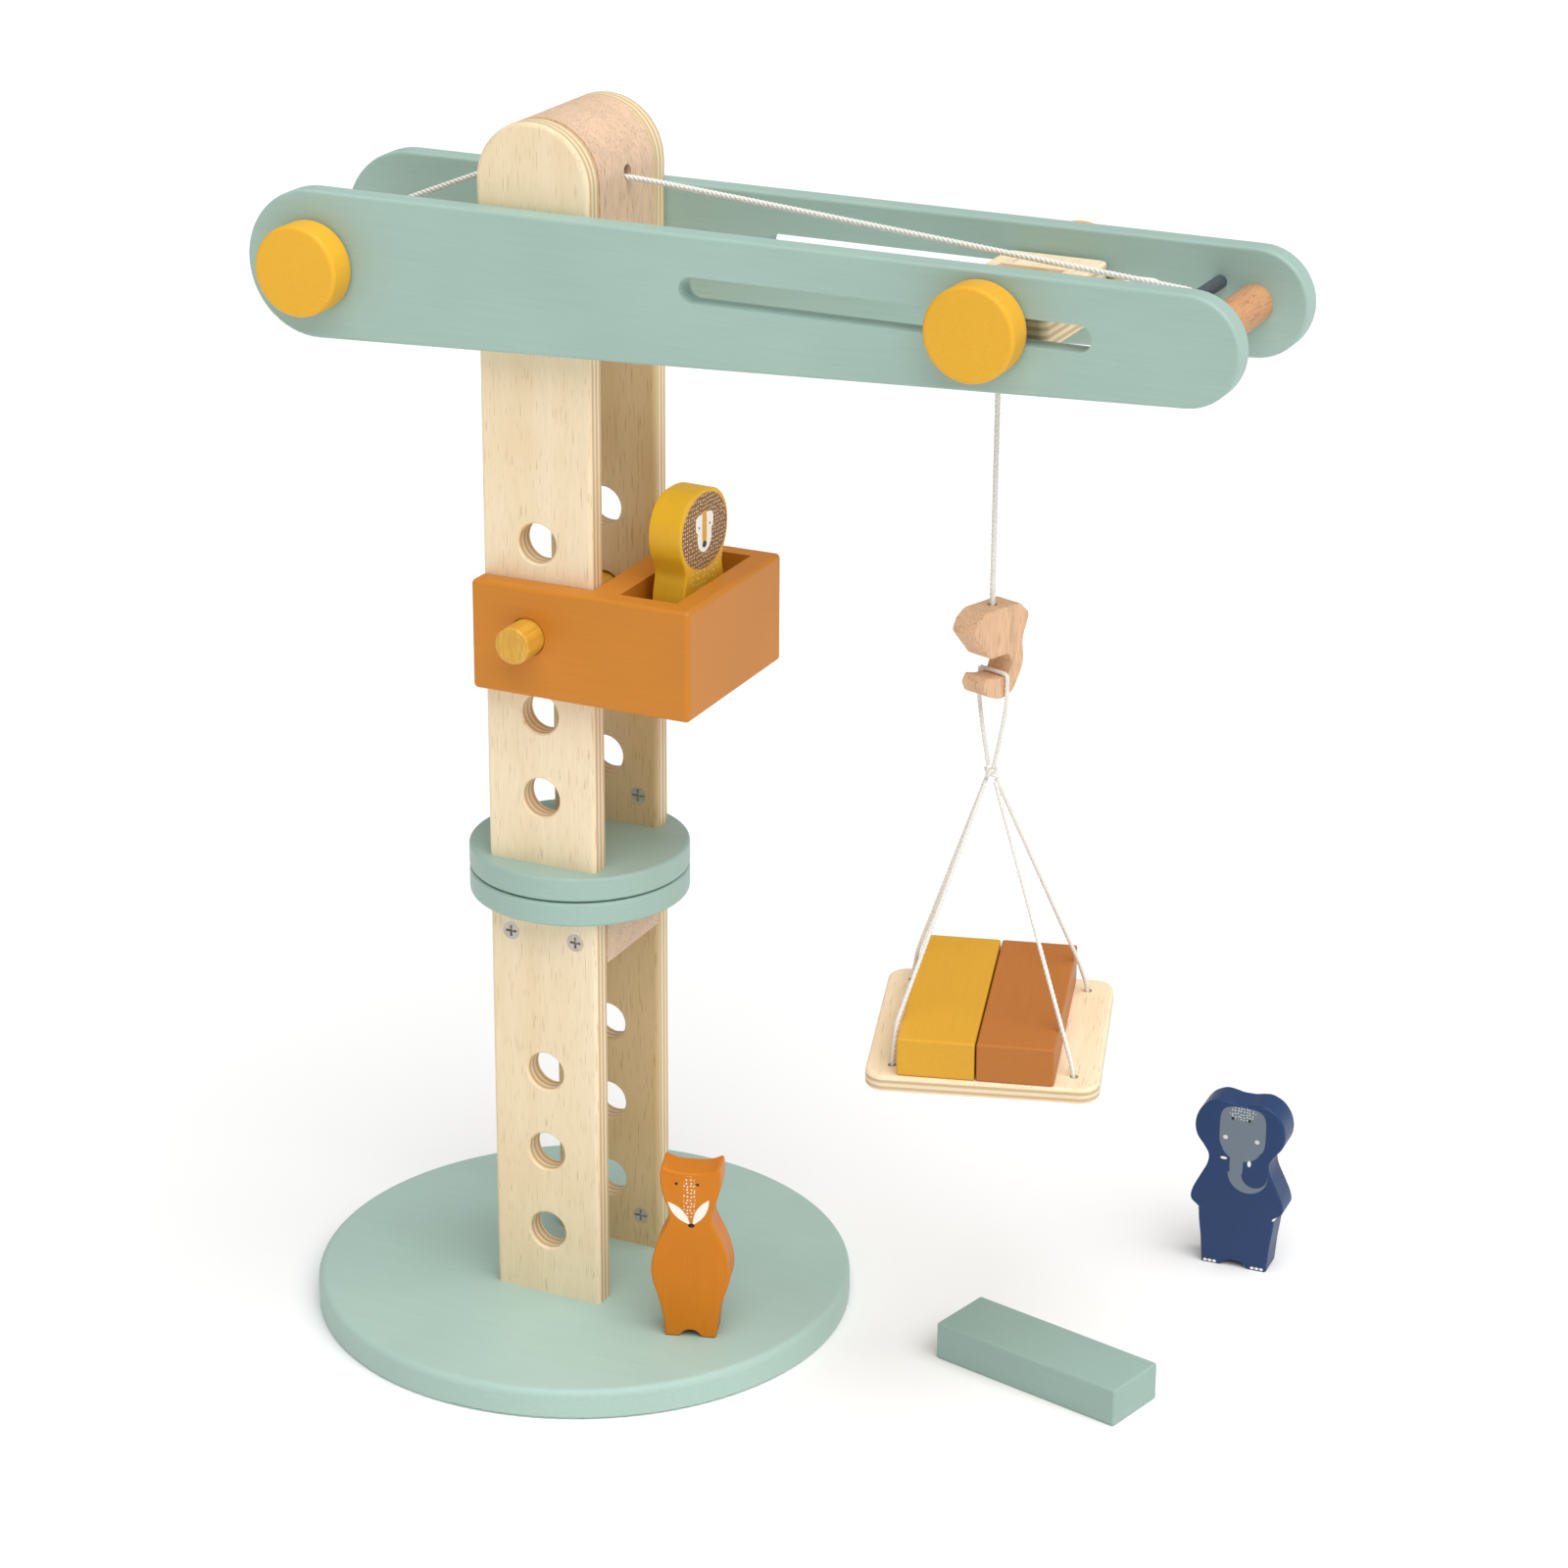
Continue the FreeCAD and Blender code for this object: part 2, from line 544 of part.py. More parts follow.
pallet = block(-pallet_size / 2, pallet_size / 2, -pallet_size / 2, pallet_size / 2, -pallet_thickness, 0)
pallet = pallet.makeFillet(7.0, [e for e in pallet.Edges if e.BoundBox.ZLength > pallet_thickness - 0.1])
pallet = pallet.makeFillet(1.2, edges_on(pallet, "Z", 0) + edges_on(pallet, "Z", -pallet_thickness))
corners = [(sx * pallet_hole_at, sy * pallet_hole_at) for sx in (-1, 1) for sy in (-1, 1)]
for x, y in corners:
    pallet = pallet.cut(rod_up(x, y, 1.5, -pallet_thickness - 1, 1))
export("pallet_board", on_tray(pallet))

knot_radius = 2.6
knot = Part.makeSphere(knot_radius, knot_foot + V(0, 0, knot_z))
export("sling_knot", knot)
leg_names = ["sling_leg_left_front", "sling_leg_left_rear", "sling_leg_right_front", "sling_leg_right_rear"]
end_knots = []
leg_lengths = 0.0
for name, (x, y) in zip(leg_names, corners):
    side = math.copysign(1, x)
    beside = side * (block_width + pair_gap / 2) + pair_shift - 0.85 * y * math.tan(math.radians(pair_turn))
    corner = tray.multVec(V(beside + side * (sling_radius + 0.6), 0.85 * y, block_height))
    bend = tray.multVec(V(x, y, 0.9))
    end = tray.multVec(V(x, y, -pallet_thickness - 0.6))
    outward = bend - knot_foot
    outward.z = 0
    top = knot_foot + outward.normalize() * 2.6 + V(0, 0, knot_z - 3.0)
    leg_lengths += cord(name, [top, corner, bend, end], [14.0, 2.0], sling_radius)
    end_knots.append(Part.makeSphere(2.3, tray.multVec(V(x, y, -pallet_thickness - 3.0))))
export("pallet_end_knots", Part.makeCompound(end_knots))
print("four sling legs together %.0f mm" % leg_lengths)

arm_top = hook_top - 25.0
loop_side = hook_thickness / 2 + sling_radius + cord_clear
loop_up = arm_top + sling_radius + 0.2
loop_foot = V(0, 0, knot_z + 3.6)
loop = [knot_foot + through * 1.4 + loop_foot,
        knot_foot + through * loop_side + V(0, 0, loop_up - 14.0),
        knot_foot + through * loop_side + V(0, 0, loop_up),
        knot_foot - through * loop_side + V(0, 0, loop_up),
        knot_foot - through * loop_side + V(0, 0, loop_up - 14.0),
        knot_foot - through * 1.4 + loop_foot]
cord("sling_loop", loop, [20.0, 1.6, 1.6, 20.0], sling_radius)

# Load blocks: two lie on the pallet side by side, the third lies loose on the floor
for name, side in (("block_mustard", -1), ("block_rust", 1)):
    load = rounded_block(block_width, block_length, block_height, 0.9)
    load.translate(V(side * (block_width + pair_gap) / 2, 0, 0))
    load = turned(load, pair_turn, V(0, 0, 0))
    load.translate(V(pair_shift, 0, 0))
    export(name, on_tray(load))
loose = turned(rounded_block(block_length, block_width, block_height, 0.9), -14.0, V(0, 0, 0))
loose.translate(V(182.7, 11.0, 0))
export("block_sage", loose)

# Cab: solid wood, open to the rear of the tower, pinned through the plates' second hole
cab = block(cab_left, cab_right, -cab_half_depth, cab_half_depth, cab_bottom, cab_top)
outer_edges = [e for e in cab.Edges if e.Length > 30]
cab = cab.makeFillet(1.8, outer_edges)
slot_depth = plate_outer + 0.4
cab = cab.cut(block(cab_left - 1, cab_divider_left, -slot_depth, slot_depth, cab_bottom - 1, cab_top + 1))
cab = cab.cut(block(pocket_left, pocket_right, -slot_depth, slot_depth, cab_bottom + cab_floor, cab_top + 1))
cab = cab.cut(rod_y(0, pin_z, pin_radius + 0.3, -cab_half_depth - 1, cab_half_depth + 1))
export("cab", cab)
pin_front = -cab_half_depth - 11.2
cab_pin = rod_y(0, pin_z, pin_radius, pin_front, cab_half_depth - 0.8)
cab_pin = cab_pin.makeFillet(0.8, edges_on(cab_pin, "Y", pin_front, 20) +
                             edges_on(cab_pin, "Y", cab_half_depth - 0.8, 20))
export("cab_pin", cab_pin)

# Figures: half outlines from the outer foot up to the middle of the head
fox = [(9.4, 0), (9.7, 6.2), (11.8, 15.5), (13.9, 21.5), (14.6, 26.0), (14.0, 31.5), (12.0, 38.0), (9.3, 43.5),
       (7.7, 47.0), (7.9, 51.0), (9.6, 55.2), (10.9, 60.0), (11.1, 65.0), (10.6, 68.6), (8.2, 67.2), (5.8, 66.5),
       (2.6, 66.2)]
elephant = [(12.8, 0), (13.6, 10.3), (14.7, 18.6), (14.9, 23.0), (18.6, 25.8), (17.8, 30.2), (15.0, 36.0),
            (12.3, 41.4), (11.6, 45.6), (13.9, 49.2), (17.0, 53.0), (17.9, 57.8), (16.8, 62.8), (13.6, 67.2),
            (9.0, 69.3), (5.6, 69.0), (2.6, 68.2)]
lion = [(10.6, 0), (11.0, 6.5), (12.8, 15.0), (14.4, 22.0), (14.4, 28.0), (13.2, 33.0), (12.3, 36.5),
        (13.2, 40.0), (15.5, 44.2), (16.7, 49.8), (16.1, 55.4), (13.4, 60.4), (8.8, 63.9), (3.0, 65.0)]
export("fox", figure(fox, 4.2, (60.4, -30.3), base_thickness, 18.0))
export("elephant", figure(elephant, 5.5, (215.6, 128.4), 0.0, 3.0))
export("lion", figure(lion, 4.2, (44.6, -0.8), cab_bottom + cab_floor, 86.0))
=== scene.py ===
import bpy
import math
from mathutils import Euler, Matrix, Vector


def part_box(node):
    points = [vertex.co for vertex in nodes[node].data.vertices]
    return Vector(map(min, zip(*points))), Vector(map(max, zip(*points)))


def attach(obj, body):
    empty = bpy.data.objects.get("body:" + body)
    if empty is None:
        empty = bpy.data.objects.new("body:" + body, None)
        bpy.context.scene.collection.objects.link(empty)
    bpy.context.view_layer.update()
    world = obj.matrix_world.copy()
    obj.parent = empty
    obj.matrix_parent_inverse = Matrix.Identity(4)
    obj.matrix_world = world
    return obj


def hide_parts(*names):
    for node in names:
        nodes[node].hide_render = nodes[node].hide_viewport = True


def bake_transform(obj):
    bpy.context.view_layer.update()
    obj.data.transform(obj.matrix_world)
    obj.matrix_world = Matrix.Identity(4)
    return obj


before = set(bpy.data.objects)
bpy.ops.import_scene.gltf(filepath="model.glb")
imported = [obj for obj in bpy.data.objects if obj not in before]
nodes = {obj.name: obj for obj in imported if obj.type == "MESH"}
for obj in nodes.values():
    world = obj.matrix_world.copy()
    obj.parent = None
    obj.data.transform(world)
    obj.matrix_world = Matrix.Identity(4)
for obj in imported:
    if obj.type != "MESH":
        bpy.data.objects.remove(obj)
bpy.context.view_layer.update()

# Camera, floor and lights
# The toy stands on an endless white sweep, under one large soft light that comes from high on the right, in a
# room with white walls.
eye = Vector((0.6549, -1.2322, 0.7467))
yaw = math.radians(-24.953)
pitch = math.radians(-21.251)
roll = math.radians(0.389)
ahead = Vector((math.sin(yaw) * math.cos(pitch), math.cos(yaw) * math.cos(pitch), math.sin(pitch)))
level = Vector((math.cos(yaw), -math.sin(yaw), 0.0))
right = math.cos(roll) * level + math.sin(roll) * level.cross(ahead)
camera = bpy.data.objects.new("camera", bpy.data.cameras.new("camera"))
camera.data.sensor_width = 36.0
camera.data.lens = 95.13
camera.data.clip_start = 0.05
camera.matrix_world = Matrix((right, right.cross(ahead), -ahead)).transposed().to_4x4()
camera.matrix_world.translation = eye
bpy.context.scene.collection.objects.link(camera)
bpy.context.scene.camera = camera
bpy.context.scene.view_settings.view_transform = "Standard"


class Wire:
    """One output of a material's nodes. Sums and products of wires add Math nodes."""

    def __init__(self, tree, socket):
        self.tree = tree
        self.socket = socket

    def node(self, kind, inputs, out=0, **settings):
        """Any other node: its settings are set first, then its inputs are filled or linked."""
        made = self.tree.nodes.new(kind)
        for name, value in settings.items():
            setattr(made, name, value)
        for key, value in inputs.items():
            if isinstance(value, Wire):
                self.tree.links.new(value.socket, made.inputs[key])
            else:
                made.inputs[key].default_value = value
        return Wire(self.tree, made.outputs[out])

    def math(self, operation, *values):
        return self.node("ShaderNodeMath", dict(enumerate((self,) + values)), operation=operation)

    def __add__(self, other):
        return self.math("ADD", other)

    def __sub__(self, other):
        return self.math("SUBTRACT", other)

    def __rsub__(self, other):
        return self.node("ShaderNodeMath", {0: other, 1: self}, operation="SUBTRACT")

    def __mul__(self, other):
        return self.math("MULTIPLY", other)

    def __truediv__(self, other):
        return self.math("DIVIDE", other)

    __radd__ = __add__
    __rmul__ = __mul__

    def step(self, edge, soft):
        """0 below the edge, 1 above it, over a soft width."""
        return self.node("ShaderNodeMapRange", {0: self, 1: edge - soft / 2, 2: edge + soft / 2},
                         interpolation_type="SMOOTHSTEP")

    def choose(self, off, on):
        """Mix of two colours by this wire."""
        return self.node("ShaderNodeMix", {0: self, 6: off, 7: on}, out=2, data_type="RGBA")

    def grain(self, scale, detail=3.0, rough=0.5, warp=0.0):
        """Noise read at this wire's place."""
        return self.node("ShaderNodeTexNoise", {"Vector": self, "Scale": scale, "Detail": detail,
                                                "Roughness": rough, "Distortion": warp})

    def stretched(self, x, y, z):
        return self.node("ShaderNodeMapping", {"Vector": self, "Scale": (x, y, z)})

    def axis(self, index):
        return self.node("ShaderNodeSeparateXYZ", {0: self}, out=index)


def colour(red, green, blue):
    """Display colour of 0 to 255 as a shader colour."""
    return tuple((c / 255 / 12.92) if c < 10.3 else ((c / 255 + 0.055) / 1.055) ** 2.4
                 for c in (red, green, blue)) + (1.0,)


def new_material(name, origin=(0, 0, 0), turn=(0, 0, 0)):
    """A material, its shader node, and a wire of the piece's own coordinates, turned by degrees about X, Y, Z."""
    material = bpy.data.materials.new(name)
    material.use_nodes = True
    tree = material.node_tree
    place = Wire(tree, tree.nodes.new("ShaderNodeTexCoord").outputs["Object"])
    if any(origin) or any(turn):
        turn = tuple(math.radians(a) for a in turn)
        place = place.node("ShaderNodeMapping", {"Vector": place, "Location": tuple(origin), "Rotation": turn},
                           vector_type="TEXTURE")
    return material, tree.nodes["Principled BSDF"], place


def finish(shader, base, rough, height=None, depth=0.0002):
    """Link colour, roughness and bump to the shader."""
    base.tree.links.new(base.socket, shader.inputs["Base Color"])
    rough.tree.links.new(rough.socket, shader.inputs["Roughness"])
    if height is not None:
        bump = height.node("ShaderNodeBump", {"Height": height, "Distance": depth, "Strength": 1.0})
        bump.tree.links.new(bump.socket, shader.inputs["Normal"])


floor_mesh = bpy.data.meshes.new("floor")
floor_mesh.from_pydata([(-60, -60, 0), (60, -60, 0), (60, 60, 0), (-60, 60, 0)], [], [(0, 1, 2, 3)])
floor = bpy.data.objects.new("floor", floor_mesh)
bpy.context.scene.collection.objects.link(floor)
sweep, sweep_shader, place = new_material("white_sweep")
mottle = place.grain(3.0)
finish(sweep_shader, mottle.choose(colour(250, 250, 250), colour(253, 253, 253)), mottle * 0.1 + 0.8)
floor.data.materials.append(sweep)

key = bpy.data.objects.new("high_soft_light", bpy.data.lights.new("high_soft_light", "SUN"))
key.data.angle = math.radians(65.0)
key.data.energy = 2.85
key.matrix_world = Vector((0.45, -0.30, 1.0)).to_track_quat("Z", "Y").to_matrix().to_4x4()
bpy.context.scene.collection.objects.link(key)
room = bpy.data.worlds.new("room")
room.use_nodes = True
room.node_tree.nodes["Background"].inputs["Color"].default_value = (1.0, 1.0, 1.0, 1.0)
room.node_tree.nodes["Background"].inputs["Strength"].default_value = 0.36
bpy.context.scene.world = room


# Base board
# A round board of 11.5 mm hardwood ply, turned with a soft edge, sprayed in satin sage. The paint's fine
# texture shows the wood's grain faintly, as on every painted piece.
def dress(node, material):
    """Give a CAD node a finished material."""
    slots = nodes[node].data.materials
    slots.clear()
    slots.append(material)


def painted_wood(name, shade, along=(0.06, 1.0, 1.0), show=0.5, turn=(0, 0, 0)):
    """Satin paint over wood: along squeezes the noise's coordinates in the grain's direction."""
    material, shader, place = new_material(name, turn=turn)
    mottle = place.grain(14.0, 2.0)
    fibres = place.stretched(*along).grain(900.0, 3.0, 0.6)
    peel = place.grain(2600.0, 2.0)
    dark = tuple(c * 0.93 for c in shade[:3]) + (1.0,)
    light = tuple(min(c * 1.05, 1.0) for c in shade[:3]) + (1.0,)
    tone = (mottle * 0.6 + fibres * 0.4).step(0.5, 0.5)
    finish(shader, tone.choose(dark, light), peel * 0.1 + fibres * 0.08 + 0.36,
           fibres * show + peel * 0.25, 0.00009)
    shader.inputs["Specular IOR Level"].default_value = 0.3
    return material


sage = colour(164, 191, 181)
# The base board's sage is a lighter copy of the sage paint: painted light that brightens its top against the shade of
# the tower and jib.
dress("base_board", painted_wood("base_sage_painted_light", colour(172, 198, 188), (0.05, 1.0, 1.0), 0.25))


# Turntable
# Two sage discs of 9 mm ply turn on each other round one bolt, with a thin washer between them.
turntable_sage = painted_wood("turntable_sage", sage, (0.05, 1.0, 1.0), 0.25)
dress("lower_disc", turntable_sage)
dress("upper_disc", turntable_sage)
nylon, nylon_shader, place = new_material("washer_nylon")
specks = place.grain(900.0)
finish(nylon_shader, specks.choose(colour(226, 226, 218), colour(238, 238, 230)), specks * 0.15 + 0.4)
dress("pivot_washer", nylon)


# Tower plates
# Birch plywood of 9 mm in seven plies, cut with the face grain upright, the edges rounded and clear sealed.
# The plies show as light and tan bands on the rounded edges and in the pin holes.
def birch_ply(name, across, low, high, plies, along, origin=(0, 0, 0), turn=(0, 0, 0), tone=1.0):
    """Ply sheet whose layers lie between low and high on the axis across, with its face grain along an axis."""
    material, shader, place = new_material(name, origin, turn)
    squeeze = [1.0, 1.0, 1.0]
    squeeze[along] = 0.045
    squeeze[across] = 0.6
    flow = place.stretched(*squeeze)
    figure = flow.grain(70.0, 4.0, 0.55, 0.6)
    fibres = flow.grain(1500.0, 3.0, 0.65)
    pores = flow.grain(2300.0, 1.0, 0.5).step(0.67, 0.06)
    cloud = place.grain(22.0, 2.0)
    face = (figure * 0.55 + cloud * 0.45).step(0.5, 0.42).choose(colour(242, 218, 178), colour(252, 235, 203))
    face = (fibres.step(0.5, 0.5) * 0.35).choose(face, colour(231, 203, 160))
    face = (pores * 0.5).choose(face, colour(196, 158, 112))
    face = face.node("ShaderNodeHueSaturation", {"Color": face, "Saturation": 2.0 - tone, "Value": tone})
    layer = (place.axis(across) - low) * (plies / (high - low))
    wobble = place.grain(120.0, 1.0) * 0.16 - 0.08
    band = (layer + wobble).math("MODULO", 2.0)
    inner = band.step(1.0, 0.12) * (1.0 - band.step(1.93, 0.1))
    end_fibres = place.grain(1900.0, 2.0)
    edge = (inner * (end_fibres * 0.5 + 0.55)).choose(colour(240, 220, 184), colour(203, 168, 122))
    within = layer.step(0.9, 0.2) * (1.0 - layer.step(plies - 0.9, 0.2))
    finish(shader, within.choose(face, edge), fibres * 0.16 + 0.4, fibres * 0.7 + pores * -0.5, 0.00007)
    shader.inputs["Specular IOR Level"].default_value = 0.36
    return material


for part in ("lower_plate", "upper_plate"):
    for side in ("front", "rear"):
        node = part + "_" + side
        low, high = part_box(node)
        # The rear plates' wood is painted darker and more saturated than the front plates' wood (tone 0.74), as
        # painted shade for the shadow that the front plates and jib cast on their inner faces; their outer faces get
        # it too.
        dress(node, birch_ply(node + "_birch", 1, low.y, high.y, 7, 2, tone=1.0 if side == "front" else 0.74))


# Tower blocks and dowels
# Solid beech, a shade redder than the birch, with the short dark flecks that beech has. The head block
# closes the tower's round top, the lower block carries the pivot bolt.
def beech(name, along, shade=(228, 195, 164)):
    """Clear sealed beech with its grain along an axis."""
    material, shader, place = new_material(name)
    squeeze = [1.0, 1.0, 1.0]
    squeeze[along] = 0.1
    flow = place.stretched(*squeeze)
    rings = flow.grain(130.0, 3.0, 0.5, 1.2)
    flecks = flow.grain(1500.0, 1.0, 0.4).step(0.62, 0.07)
    fibres = flow.grain(2500.0, 3.0, 0.6)
    base = colour(*shade)
    deep = tuple(c * 0.6 for c in base[:3]) + (1.0,)
    light = tuple(min(c * 1.12, 1.0) for c in base[:3]) + (1.0,)
    body = rings.step(0.5, 0.34).choose(base, light)
    body = (flecks * 0.6).choose(body, deep)
    body = (fibres.step(0.5, 0.4) * 0.25).choose(body, deep)
    finish(shader, body, fibres * 0.15 + 0.4, fibres * 0.6 + flecks * -0.6, 0.00008)
    shader.inputs["Specular IOR Level"].default_value = 0.36
    return material


dress("head_block", beech("head_beech", 2))
dress("lower_block", beech("block_beech", 0))
dress("jib_dowels", beech("dowel_beech", 1))
dress("tip_dowel", beech("tip_beech", 1, (206, 152, 108)))
dress("winch_axle", beech("winch_axle_beech", 1))
dress("trolley_axle", beech("trolley_axle_beech", 1))
dress("trolley_pulley", beech("pulley_beech", 1))


# Fixings
# Zinc plated barrel nuts and bolts hold the plates' feet, and cross-head screws their tops. The cord's rod
# at the jib's tip is plain grey steel.
def plated(name, shade, rough, metallic):
    material, shader, place = new_material(name)
    brushed = place.stretched(1.0, 1.0, 0.08).grain(4000.0, 2.0)
    cloud = place.grain(500.0)
    base = colour(*shade)
    dull = tuple(c * 0.8 for c in base[:3]) + (1.0,)
    finish(shader, cloud.step(0.5, 0.5).choose(dull, base), brushed * 0.2 + rough, brushed, 0.00002)
    shader.inputs["Metallic"].default_value = metallic
    return material


zinc = plated("zinc_plate", (214, 211, 203), 0.42, 0.75)
for node in ("base_bolts", "base_barrel_nuts", "upper_bolts", "upper_barrel_nuts", "pivot_bolt", "pivot_nut"):
    dress(node, zinc)
dress("tower_screws", plated("screw_plate", (206, 200, 190), 0.4, 0.75))
dress("cord_rod", plated("rod_steel", (98, 108, 120), 0.35, 0.6))


# Jib
# Two tapered ply boards, one on each side of the tower, sprayed sage all over with the trolley's slot cut
# through. The grain runs along the boards.
jib_sage = painted_wood("jib_sage", sage, (0.04, 1.0, 1.0), 0.45)
dress("jib_plate_front", jib_sage)
dress("jib_plate_rear", jib_sage)


# Knobs
# Turned beech knobs sprayed mustard, one on each end of the winch axle and of the trolley axle. Their round
# faces are end grain, which the paint shows as a fine dapple.
mustard = colour(222, 165, 44)
knob_mustard = painted_wood("knob_mustard", colour(237, 178, 46), (1.0, 0.15, 1.0), 0.5)
for pair in ("winch_knob", "trolley_knob"):
    for side in ("front", "rear"):
        dress(pair + "_" + side, knob_mustard)


# Cords
# White cotton cord of 2 mm, three strands twisted together. Geometry nodes sweep a three-lobed section
# along each route with a steady twist, which makes the strands and the creases between them. The cotton's
# colour is painted darker in the creases, as painted shade.
def cord_nodes():
    tree = bpy.data.node_groups.new("twisted_cord", "GeometryNodeTree")
    for name, kind, way in (("Route", "NodeSocketGeometry", "INPUT"), ("Radius", "NodeSocketFloat", "INPUT"),
                            ("Twist Length", "NodeSocketFloat", "INPUT"), ("Step", "NodeSocketFloat", "INPUT"),
                            ("Finish", "NodeSocketMaterial", "INPUT"), ("Cord", "NodeSocketGeometry", "OUTPUT")):
        tree.interface.new_socket(name, in_out=way, socket_type=kind)
    entry = tree.nodes.new("NodeGroupInput")

    def add(kind, inputs, out=0, **settings):
        made = tree.nodes.new(kind)
        for name, value in settings.items():
            setattr(made, name, value)
        for key, value in inputs.items():
            if isinstance(value, bpy.types.NodeSocket):
                tree.links.new(value, made.inputs[key])
            else:
                made.inputs[key].default_value = value
        return made.outputs[out]

    section_points = 18
    strands = 3
    even = add("GeometryNodeResampleCurve", {"Curve": entry.outputs["Route"], "Length": entry.outputs["Step"]},
               mode="LENGTH")
    travelled = add("GeometryNodeSplineParameter", {}, out="Length")
    turns = add("ShaderNodeMath", {0: travelled, 1: entry.outputs["Twist Length"]}, operation="DIVIDE")
    tilt = add("ShaderNodeMath", {0: turns, 1: math.tau}, operation="MULTIPLY")
    twisted = add("GeometryNodeSetCurveTilt", {"Curve": even, "Tilt": tilt})
    ring = add("GeometryNodeCurvePrimitiveCircle", {"Resolution": section_points, "Radius": entry.outputs["Radius"]})
    index = add("GeometryNodeInputIndex", {})
    angle = add("ShaderNodeMath", {0: index, 1: math.tau * strands / section_points}, operation="MULTIPLY")
    lobe = add("ShaderNodeMath", {0: angle}, operation="COSINE")
    share = add("ShaderNodeMath", {0: lobe, 1: 0.09, 2: 0.91}, operation="MULTIPLY_ADD")
    spot = add("GeometryNodeInputPosition", {})
    lobed_spot = add("ShaderNodeVectorMath", {0: spot, "Scale": share}, operation="SCALE")
    lobed = add("GeometryNodeSetPosition", {"Geometry": ring, "Position": lobed_spot})
    named = add("GeometryNodeStoreNamedAttribute", {"Geometry": lobed, "Name": "crest", "Value": lobe},
                data_type="FLOAT", domain="POINT")
    swept = add("GeometryNodeCurveToMesh", {"Curve": twisted, "Profile Curve": named, "Fill Caps": True})
    smooth = add("GeometryNodeSetShadeSmooth", {"Geometry": swept})
    real = add("GeometryNodeRealizeInstances", {"Geometry": smooth})
    dressed = add("GeometryNodeSetMaterial", {"Geometry": real, "Material": entry.outputs["Finish"]})
    leave = tree.nodes.new("NodeGroupOutput")
    tree.links.new(dressed, leave.inputs["Cord"])
    return tree


cotton, cotton_shader, place = new_material("white_cotton")
crest = place.node("ShaderNodeAttribute", {}, out="Fac", attribute_name="crest")
lint = place.grain(5200.0, 3.0, 0.6)
# Painted shade: the colour runs to the darker cotton towards the creases between the strands, mixed with the lint's
# random tone.
painted_crease_shade = crest.node("ShaderNodeMapRange", {0: crest, 1: -1.0, 2: 0.6})
finish(cotton_shader, (painted_crease_shade * 0.8 + lint * 0.2).choose(colour(236, 231, 219), colour(254, 252, 247)),
       lint * 0.1 + 0.85, lint, 0.00012)
cotton_shader.inputs["Sheen Weight"].default_value = 0.3
twisted_cord = cord_nodes()


def cord_piece(name, routes, body, *stands_for, cyclic=False, thick=0.00102):
    """A length of twisted cord along one or more routes, made a plain mesh that rides on a body."""
    curve = bpy.data.curves.new(name, "CURVE")
    curve.dimensions = "3D"
    for route in routes:
        spline = curve.splines.new("NURBS")
        spline.points.add(len(route) - 1)
        for point, at in zip(spline.points, route):
            point.co = (*at, 1.0)
        spline.order_u = 3
        spline.use_endpoint_u = not cyclic
        spline.use_cyclic_u = cyclic
        spline.resolution_u = 24
    guide = bpy.data.objects.new(name + "_guide", curve)
    bpy.context.scene.collection.objects.link(guide)
    modifier = guide.modifiers.new("cord", "NODES")
    modifier.node_group = twisted_cord
    values = {"Radius": thick, "Twist Length": 0.0052, "Step": 0.0006, "Finish": cotton}
    for item in twisted_cord.interface.items_tree:
        if item.name in values:
            modifier[item.identifier] = values[item.name]
    view = bpy.context.evaluated_depsgraph_get()
    mesh = bpy.data.meshes.new_from_object(guide.evaluated_get(view))
    bpy.data.objects.remove(guide)
    piece = bpy.data.objects.new(name, mesh)
    bpy.context.scene.collection.objects.link(piece)
    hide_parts(*stands_for)
    if body:
        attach(piece, body)
    return piece


# Hoist cord
# It leaves the winch, runs through the head block's bore and out to the steel rod at the jib's tip, turns
# round the rod and comes back over the trolley's pulley, from where it hangs down to the hook.
pulley_low, pulley_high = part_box("trolley_pulley")
pulley = (pulley_low + pulley_high) / 2
wrap_radius = (pulley_high.z - pulley_low.z) / 2 + 0.0013
fall_top = pulley + Vector((-wrap_radius, 0, 0))
rod_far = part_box("hoist_cord_run")[1].x - 0.001
to_tip = [
    (-0.0782, 0, 0.4069), (-0.0365, 0, 0.4241), (-0.0245, 0, 0.4288), (-0.0140, 0, 0.4289),
    (0.0140, 0, 0.4289), (0.0245, 0, 0.4288), (0.0380, 0, 0.4279), (0.2160, 0, 0.4135),
    (rod_far, 0, 0.4125), (rod_far, 0, 0.4050), (0.2230, 0, 0.4057)]
cord_piece("hoist_cord_to_tip", [to_tip], "upper_tower", "hoist_cord_run", thick=0.00112)

lean = math.radians(8.0)
on_pulley = pulley + wrap_radius * Vector((math.sin(lean), 0, math.cos(lean)))
back = cord_piece("hoist_cord_back", [[to_tip[-1], on_pulley]], None, "hoist_cord_return")
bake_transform(back)

steps = 12
over = [pulley + wrap_radius * Vector((math.sin(a), 0, math.cos(a)))
        for a in (lean - i / steps * (lean + math.pi / 2) for i in range(steps + 1))]
cord_piece("hoist_cord_over_pulley", [over], "trolley", "hoist_cord_on_pulley")

hook_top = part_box("hook")[1].z
fall_end = Vector((fall_top.x, 0, hook_top - 0.006))
fall = cord_piece("hoist_cord_down", [[fall_top, fall_end]], None, "hoist_cord_fall")
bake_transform(fall)


